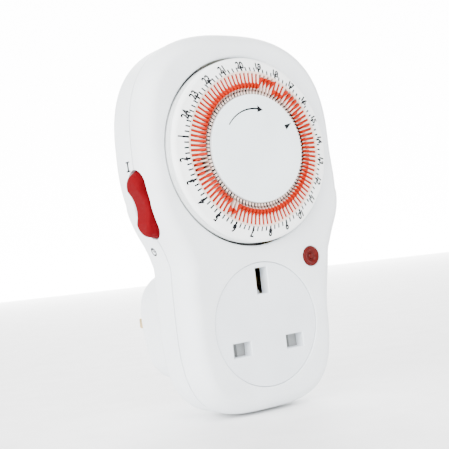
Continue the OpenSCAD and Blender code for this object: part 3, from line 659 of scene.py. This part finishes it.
def tick(angle, r0, r1, width, height):
    """A short printed stroke along a radius."""
    half = width / 2
    return [dial_point(r, angle + s * half / r, height(r)) for r, s in ((r0, -1), (r1, -1), (r1, 1), (r0, 1))]


PRINT_LIFT = 0.03


def slot_angle(step):
    """Direction of a quarter hour's mark, counted from hour 24."""
    return math.radians(DIAL_TURN + 360 / TAPPETS * (step - 4 * HOUR_ON_RIGHT))


def dial_ticks():
    """A mark for each quarter hour outside and inside the tappets, bolder on the hour."""
    outer, inner = [], []
    for step in range(TAPPETS):
        bold = step % 4 == 0
        outer.append(tick(slot_angle(step), RING_IN, RING_IN + (2.0 if bold else 1.5), 0.7 if bold else 0.55,
                          lambda r: cone_y(r) - PRINT_LIFT))
        inner.append(tick(slot_angle(step), DISC_R + 0.2, SLOT_IN + 0.7, 0.6 if bold else 0.45,
                          lambda r: RIB_Y - PRINT_LIFT))
    printed("dial_ticks", outer + inner, "dial")


def letters(text, size):
    """Flat outline of a text, as points and faces in millimetres, centred."""
    curve = bpy.data.curves.new("text", "FONT")
    curve.body = text
    curve.size = size
    curve.align_x = "CENTER"
    curve.align_y = "CENTER"
    curve.resolution_u = 3
    holder = bpy.data.objects.new("text", curve)
    bpy.context.scene.collection.objects.link(holder)
    bpy.context.view_layer.update()
    mesh = holder.to_mesh()
    points = [tuple(v.co) for v in mesh.vertices]
    faces = [list(p.vertices) for p in mesh.polygons]
    holder.to_mesh_clear()
    bpy.data.objects.remove(holder)
    return points, faces


NUMBER_R = 28.7
NUMBER_SIZE = 3.6
NUMBER_NARROW = 0.82
NUMBER_WEIGHT = 0.1


def dial_numbers():
    """The hours, each struck five times a hair apart, which thickens its strokes."""
    w = NUMBER_WEIGHT
    verts, faces = [], []
    for hour in range(1, 25):
        angle = slot_angle(4 * hour)
        points, polygons = letters(str(hour), NUMBER_SIZE)
        for dx, dy in ((0, 0), (w, w), (-w, w), (w, -w), (-w, -w)):
            strike = []
            for x, y, _ in points:
                r = NUMBER_R + y + dy
                strike.append(dial_point(r, angle - (x * NUMBER_NARROW + dx) / r, cone_y(r) - PRINT_LIFT))
            add_mesh(verts, faces, strike, polygons)
    new_piece("dial_numbers", verts, faces, "print", "dial", 0)


def ribbed_carrier():
    """Cream ring with a rounded rib between every two slots."""
    verts, faces = [], []
    for step in range(TAPPETS):
        angle = slot_angle(step)
        rings = []
        for r in (SLOT_IN - 0.3, SLOT_IN, SLOT_OUT, SLOT_OUT + 0.3):
            half = math.pi * r / TAPPETS - RIB_GAP_HALF
            section = [(-half, FACE_Y - 0.05)]
            crown = min(half, RIB_CROWN)
            flat, shoulder = half - crown, RIB_Y + crown
            section += [(-flat - crown * math.cos(a), shoulder - crown * math.sin(a)) for a in quarter(3)]
            section += [(flat + crown * math.sin(a), shoulder - crown * math.cos(a)) for a in quarter(3)]
            section += [(half, FACE_Y - 0.05)]
            direction, side = (math.cos(angle), math.sin(angle)), (-math.sin(angle), math.cos(angle))
            rings.append([(r * direction[0] + t * side[0], y, DIAL_Z + r * direction[1] + t * side[1])
                          for t, y in section])
        add_mesh(verts, faces, *loft_mesh(rings))
    for inner, outer in ((DISC_R + 0.15, SLOT_IN), (SLOT_OUT, RING_IN - 0.03)):
        rim = [(inner, FACE_Y)] + [(inner, RIB_Y + 0.15), (inner + 0.15, RIB_Y)]
        rim += [(outer - 0.02, RIB_Y), (outer, RIB_Y + 0.02), (outer, FACE_Y)]
        add_mesh(verts, faces, *lathe_mesh(rim, 0, DIAL_Z, 192))
    ring = new_piece("tappet_carrier_ribbed", verts, faces, "carrier", "dial", 40)
    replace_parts(ring, "tappet_carrier")


def centre_disc():
    """Slightly domed disc with a soft edge."""
    profile = [(AXIS_R, DISC_Y + 1.2), (AXIS_R, DISC_Y + 0.06)]
    profile += [(r, DISC_Y + 0.06 * (1 - r / DISC_R)) for r in (6, 12)]
    profile += arc(DISC_R - 0.35, DISC_Y + 0.35, 0.35, -90, 0, 5) + [(DISC_R, DISC_Y + 1.2)]
    disc = lathe("centre_disc_shaded", profile, 0, DIAL_Z, "disc", "casing", 160)
    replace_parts(disc, "centre_disc")


ARROW_R = 13.5
ARROW_ENDS = (143.0, 82.0, 74.0)
ARROW_STEPS = 24
ARROW_HALF = 0.18
ARROW_SWELL = 0.12
ARROW_HEAD = 1.2
ARROW_NECK = 0.03
POINTER_AT = 28.6
POINTER_R = (14.3, 17.4)
POINTER_HALF = 3.7


def disc_print():
    """The turning arrow and the pointer for the present time."""
    lift = DISC_Y - PRINT_LIFT
    start, end, tip = (math.radians(a) for a in ARROW_ENDS)
    shaft = []
    for k in range(ARROW_STEPS):
        a, b = (start + (end - start) * t / ARROW_STEPS for t in (k, k + 1))
        wide = [ARROW_HALF + ARROW_SWELL * t / ARROW_STEPS for t in (k, k + 1)]
        shaft.append([dial_point(ARROW_R - wide[0], a, lift), dial_point(ARROW_R - wide[1], b, lift),
                      dial_point(ARROW_R + wide[1], b, lift), dial_point(ARROW_R + wide[0], a, lift)])
    head = [dial_point(ARROW_R - ARROW_HEAD, end + ARROW_NECK, lift), dial_point(ARROW_R, tip, lift),
            dial_point(ARROW_R + ARROW_HEAD, end + ARROW_NECK, lift)]
    at, half = math.radians(POINTER_AT), math.radians(POINTER_HALF)
    pointer = [dial_point(POINTER_R[0], at - half, lift), dial_point(POINTER_R[1], at, lift),
               dial_point(POINTER_R[0], at + half, lift)]
    printed("disc_print", shaft + [head, pointer], "casing")


# ---- tappets -----------------------------------------------------------------------------------------
PIVOT_R = (SLOT_IN + SLOT_OUT) / 2
PIVOT_Y = FACE_Y - 0.9
TAPPET_T = 0.7
BODY_HALF = 2.2
TAIL_HALF = 0.5
BLADE_EDGE = 0.1
TAPPET_TILT = 16.0
HOURS_SET = (2, 2.25, 2.5, 2.75, 5.25, 5.5, 14.75, 16, 16.25, 16.5, 16.75, 17, 18, 18.25, 18.5, 18.75)


def blade_outline(wing):
    """Side view of a tappet from its pivot, (radial, y), head first; a wing fills the slot beside it."""
    crest = arc(-0.25, -5.25, 0.35, 180, 270, 4) + arc(0.25, -5.25, 0.35, 270, 360, 4)
    head = [(-1.15, -3.6)] + crest + [(1.15, -3.6)]
    shoulder = [(1.6, -3.3), (4.0, -2.5), (4.0, -1.2), (BODY_HALF, -0.6)] if wing else [(BODY_HALF, -1.4)]
    tail = [(TAIL_HALF, 0.8), (TAIL_HALF, 3.5), (-TAIL_HALF, 3.5), (-TAIL_HALF, 0.8)]
    return head + shoulder + [(BODY_HALF, 0.8)] + tail + [(-BODY_HALF, 0.8), (-BODY_HALF, -1.4)]


def blade(step, lean, wing):
    """Points and faces of one tappet standing in its slot."""
    angle = slot_angle(step + 0.5)
    radial, side = (math.cos(angle), math.sin(angle)), (-math.sin(angle), math.cos(angle))
    turn = math.radians(lean)
    layers = []
    line = blade_outline(wing)
    flank = TAPPET_T / 2
    broad = flank - BLADE_EDGE
    for t, shrink in ((-flank, BLADE_EDGE), (-broad, 0), (broad, 0), (flank, BLADE_EDGE)):
        ring = []
        for x, y in line:
            px, py = x * (1 - shrink / 2), y + (shrink if y < -4 else 0)
            rx, ry = px * math.cos(turn) - py * math.sin(turn), px * math.sin(turn) + py * math.cos(turn)
            r = PIVOT_R + rx
            ring.append((r * radial[0] + t * side[0], PIVOT_Y + ry, DIAL_Z + r * radial[1] + t * side[1]))
        layers.append(ring)
    return loft_mesh(layers)


def tappets():
    """All tappets: those left off as one piece, each set one on its own body."""
    set_steps = [int(round(h * 4)) for h in HOURS_SET]
    verts, faces = [], []
    for step in range(TAPPETS):
        if step not in set_steps:
            add_mesh(verts, faces, *blade(step, -TAPPET_TILT, True))
    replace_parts(new_piece("tappets_off_shaded", verts, faces, "tappet", "dial", 40), "tappets_off")
    for i, step in enumerate(set_steps):
        v, f = blade(step, TAPPET_TILT, False)
        piece = new_piece(f"tappet_{i + 1}_shaded", v, f, "tappet", f"set_tappet_{i + 1}", 40)
        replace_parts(piece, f"tappet_{i + 1}")


# ---- socket and indicator ------------------------------------------------------------------------------
LINE_SLOT_W = 7.2
SLOT_T = 4.8
EARTH_SLOT_W = 9.0
LEAD_IN = 0.35
PLATE_BACK = FACE_Y + 4.6
LEDGE_Y = FACE_Y + 2.25
LEDGE_R = PLATE_R + 1.55


def aperture(x, z, w, h):
    """A rectangular cutter with a slightly flared mouth."""
    rings = []
    for y, g in ((PLATE_Y - 2, LEAD_IN), (PLATE_Y, LEAD_IN), (PLATE_Y + LEAD_IN, 0.0), (PLATE_Y + 8, 0.0)):
        a, b = w / 2 + g, h / 2 + g
        rings.append([(x - a, y, z - b), (x + a, y, z - b), (x + a, y, z + b), (x - a, y, z + b)])
    return cutter("aperture", rings)


def socket_plate():
    """Round plate with its ledge behind the casing and the three apertures."""
    profile = [(AXIS_R, PLATE_BACK), (AXIS_R, PLATE_Y)] + arc(PLATE_R - 0.3, PLATE_Y + 0.3, 0.3, -90, 0, 5)
    profile += [(PLATE_R, LEDGE_Y), (LEDGE_R, LEDGE_Y), (LEDGE_R, PLATE_BACK)]
    plate = lathe("socket_plate_shaded", profile, 0, PLATE_Z, "plate", "casing", 160)
    cut(plate, [aperture(s * PIN_PITCH / 2, SOCKET_Z, LINE_SLOT_W, SLOT_T) for s in (-1, 1)]
        + [aperture(0, SOCKET_Z + PIN_PITCH, SLOT_T, EARTH_SLOT_W)])
    round_off(plate, 32)
    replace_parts(plate, "socket_plate")


def indicator():
    """Lens with a small centre boss inside a ring groove, under a rounded rim."""
    profile = [(AXIS_R, FACE_Y + 1.0), (AXIS_R, FACE_Y - 0.3), (0.8, FACE_Y - 0.27), (1.15, FACE_Y + 0.2),
               (1.5, FACE_Y + 0.2), (2.0, FACE_Y - 0.35), (2.5, FACE_Y - 0.5)]
    profile += arc(LENS_R - 0.5, FACE_Y, 0.5, -90, 0, 5)
    profile += [(LENS_R, FACE_Y + 3.0), (LENS_R - 0.9, FACE_Y + 3.0), (LENS_R - 0.9, FACE_Y + 1.0)]
    lens = lathe("indicator_lens_shaded", profile, LENS_X, LENS_Z, "lens", "casing", 64)
    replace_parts(lens, "indicator_lens")


# ---- override rocker ---------------------------------------------------------------------------------------
ROCKER_HOLLOW = 1.5
ROCKER_CURVE = 11.0
ROCKER_EDGE = 1.1
ROCKER_HUB = 4.5
ROCKER_BACK = 3.4
TIP_INSETS = (ROCKER_W / 2 - 0.05, 3.2, 2.2)
SIDE_LEVELS = (3.4, 1.6, 0.0)
TRUNNION_R = 1.5
TRUNNION_HALF = 5.85


def ladder(line):
    """Faces that close a ring from foot to top, rung by rung across its long axis."""
    near = sorted((i for i, (y, z) in enumerate(line) if y > -1e-6), key=lambda i: line[i][1])
    mates = [min(range(len(line)), key=lambda j: abs(line[j][0] + line[i][0]) + abs(line[j][1] - line[i][1]))
             for i in near]
    rungs = list(zip(near, mates))
    return [list(dict.fromkeys((a, b, mate_b, mate_a))) for (a, mate_a), (b, mate_b) in zip(rungs, rungs[1:])]


def thumb_face(z):
    """Distance of the rocker's hollow face from the trunnions."""
    centre = ROCKER_OUT - ROCKER_HOLLOW + ROCKER_CURVE
    return min(ROCKER_OUT, centre - math.sqrt(max(ROCKER_CURVE ** 2 - z * z, 0.0)))


def rocker():
    """A bar with round ends and a hollow thumb face, on a hub with two trunnions."""
    half = ROCKER_W / 2
    rings = []
    for inset in TIP_INSETS:
        rings.append([(-thumb_face(z), y, z) for y, z in bar_line(ROCKER_OUT, half - inset)])
    for a in reversed(quarter(6)):
        drop = ROCKER_EDGE * (1 - math.sin(a))
        rings.append([(drop - thumb_face(z), y, z)
                      for y, z in bar_line(ROCKER_OUT - drop, half - ROCKER_EDGE * (1 - math.cos(a)))])
    rings += [[(-level, y, z) for y, z in bar_line(level, half)] for level in SIDE_LEVELS]
    verts, faces = loft_mesh(rings)
    faces[-2:-1] = ladder(bar_line(ROCKER_OUT, 0.05))
    square = ((-half, -ROCKER_HUB), (half, -ROCKER_HUB), (half, ROCKER_HUB), (-half, ROCKER_HUB))
    hub = [[(x, y, z) for y, z in square] for x in (-0.1, ROCKER_BACK)]
    end = TRUNNION_HALF
    axle = [(AXIS_R, -end), (TRUNNION_R, -end), (TRUNNION_R, end), (AXIS_R, end)]
    add_mesh(verts, faces, *loft_mesh(hub))
    add_mesh(verts, faces, *lathe_mesh(axle, 0, 0, 32))
    piece = new_piece("rocker_shaded", verts, faces, "rocker", None, 38)
    piece.matrix_world = rocker_place()
    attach(piece, "rocker")
    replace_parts(piece, "override_rocker")


# ---- plug pins ---------------------------------------------------------------------------------------------
PIN_W = 6.35
PIN_T = 4.0
PIN_L = 17.7
EARTH_W = 8.0
EARTH_L = 22.7
SLEEVE_L = 9.0
SLEEVE_T = 0.5
FLANGE = 3.0


def rounded_box(w, h, r, x, z):
    """Rounded rectangle (x, z) round a centre."""
    a, b = w / 2 - r, h / 2 - r
    corners = ((a, b, 0), (-a, b, 90), (-a, -b, 180), (a, -b, 270))
    return [(x + px, z + pz) for cx, cz, turn in corners for px, pz in arc(cx, cz, r, turn, turn + 90, 4)]


def pin_rings(w, h, x, z, stations):
    """Rings of a pin, each station (y, how much smaller it is all round)."""
    return [[(px, y, pz) for px, pz in rounded_box(w - 2 * g, h - 2 * g, min(0.5, w / 2 - g - 0.05), x, z)]
            for y, g in stations]


def plug_pins():
    """The three pins with bevelled tips, and the sleeves of the two line pins."""
    tip = [(1.6, 0.0), (0.9, 0.28), (0.35, 0.62), (0.08, 0.92), (0.0, 1.1)]
    flange = [(-4.5, 0.0), (-3.0, 0.0)]
    sides = (("neutral_pin", "neutral_sleeve", -PIN_PITCH / 2), ("live_pin", "live_sleeve", PIN_PITCH / 2))
    for node, sleeve, x in sides:
        neck = [(-3.0, 0.0), (-0.2, 0.0), (0.0, SLEEVE_T)]
        neck += [(SLEEVE_L - 0.05, SLEEVE_T), (SLEEVE_L + 0.05, 0.04)]
        rings = pin_rings(PIN_W, PIN_T, x, 0, neck + [(PIN_L - back, g) for back, g in tip])
        verts, faces = loft_mesh(rings)
        add_mesh(verts, faces, *loft_mesh(pin_rings(PIN_W + FLANGE, PIN_T + FLANGE, x, 0, flange)))
        pin = new_piece(node + "_rounded", verts, faces, "brass", "casing", 30)
        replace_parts(pin, node)
        skin = [(0.02, 0.06), (0.12, 0.0), (SLEEVE_L - 0.1, 0.0), (SLEEVE_L, 0.08)]
        outside = pin_rings(PIN_W, PIN_T, x, 0, skin)
        inside = pin_rings(PIN_W, PIN_T, x, 0, [(SLEEVE_L, SLEEVE_T - 0.02), (0.02, SLEEVE_T - 0.02)])
        n = len(outside[0])
        verts = [p for ring in outside + inside for p in ring]
        faces = [[k * n + i, k * n + (i + 1) % n, ((k + 1) % 6) * n + (i + 1) % n, ((k + 1) % 6) * n + i]
                 for k in range(6) for i in range(n)]
        tube = new_piece(sleeve + "_rounded", verts, faces, "black", "casing", 30)
        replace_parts(tube, sleeve)
    rings = pin_rings(PIN_T, EARTH_W, 0, PIN_PITCH, [(-3.0, 0.0)] + [(EARTH_L - back, g) for back, g in tip])
    verts, faces = loft_mesh(rings)
    add_mesh(verts, faces, *loft_mesh(pin_rings(PIN_T + FLANGE, EARTH_W + FLANGE, 0, PIN_PITCH, flange)))
    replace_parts(new_piece("earth_pin_rounded", verts, faces, "brass", "casing", 30), "earth_pin")


# ---- marks beside the rocker -----------------------------------------------------------------------------
ON_MARK = (FACE_Y + 13.2, SOCKET_Z + 64.9)
CLOCK_MARK = (FACE_Y + 16.0, SOCKET_Z + 36.0)
CLOCK_R = (0.9, 1.5)
CLOCK_STEPS = 24


def side_point(u, v, spot):
    """A point on the left side wall beside a spot (y, z): u forwards, v up."""
    y, z = spot[0] - u, spot[1] + v
    return (-half_width(z, UPPER, LOWER, WAIST) - PRINT_LIFT, y, z)


def strip(u0, v0, u1, v1, width, spot):
    """A printed stroke between two points of the side wall."""
    size = math.hypot(u1 - u0, v1 - v0)
    du, dv = -(v1 - v0) / size * width / 2, (u1 - u0) / size * width / 2
    return [side_point(u0 + du, v0 + dv, spot), side_point(u1 + du, v1 + dv, spot),
            side_point(u1 - du, v1 - dv, spot), side_point(u0 - du, v0 - dv, spot)]


def side_marks():
    """An upright bar above the rocker and a small clock below it."""
    bar = [strip(0, -1.5, 0, 1.5, 1.0, ON_MARK), strip(-1.3, 1.5, 1.3, 1.5, 0.5, ON_MARK),
           strip(-1.3, -1.5, 1.3, -1.5, 0.5, ON_MARK)]
    clock = []
    inner, outer = CLOCK_R
    for k in range(CLOCK_STEPS):
        a, b = (2 * math.pi * t / CLOCK_STEPS for t in (k, k + 1))
        clock.append([side_point(r * math.cos(t), r * math.sin(t), CLOCK_MARK)
                      for r, t in ((outer, a), (outer, b), (inner, b), (inner, a))])
    clock += [strip(0, 0, 0, 1.0, 0.5, CLOCK_MARK), strip(0, 0, 0.9, 0, 0.4, CLOCK_MARK)]
    printed("side_marks", bar + clock, "casing")


# ---- shutter ---------------------------------------------------------------------------------------------
SHUTTER_HALF = 16.0
GROOVE_HALF = 0.5
GROOVE_DEEP = 1.2
STEM_HALF = 1.6


def shutter():
    """Shutter whose face is split by a narrow groove behind each line aperture, with a sloped stem."""
    front, back = low("shutter", 1), high("shutter", 1)
    foot, top = SOCKET_Z - 3.6, SOCKET_Z + 3.4
    line = [(-SHUTTER_HALF, front)]
    for x in (-PIN_PITCH / 2, PIN_PITCH / 2):
        line += [(x - GROOVE_HALF, front), (x, front + GROOVE_DEEP), (x + GROOVE_HALF, front)]
    line += [(SHUTTER_HALF, front), (SHUTTER_HALF, back), (-SHUTTER_HALF, back)]
    verts, faces = loft_mesh([[(x, y, z) for x, y in line] for z in (foot, top)])
    stem = [(top, front), (SOCKET_Z + 18.2, front), (SOCKET_Z + 19.6, back), (top, back)]
    add_mesh(verts, faces, *loft_mesh([[(x, y, z) for z, y in stem] for x in (-STEM_HALF, STEM_HALF)]))
    piece = new_piece("shutter_grooved", verts, faces, "shutter", "shutter_slide", 30)
    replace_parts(piece, "shutter")


front_shell()
rear_shell()
number_ring()
dial_ticks()
dial_numbers()
ribbed_carrier()
centre_disc()
disc_print()
tappets()
socket_plate()
shutter()
indicator()
rocker()
plug_pins()
side_marks()


# ---- plain nodes that keep their CAD shape -----------------------------------------------------------
SLOTS = {s["node"]: s["material_slot"] for s in frame["record"]["subparts"]}
for node_name, obj in NODES.items():
    obj.data.materials.clear()
    obj.data.materials.append(MATS[SLOTS[node_name]])
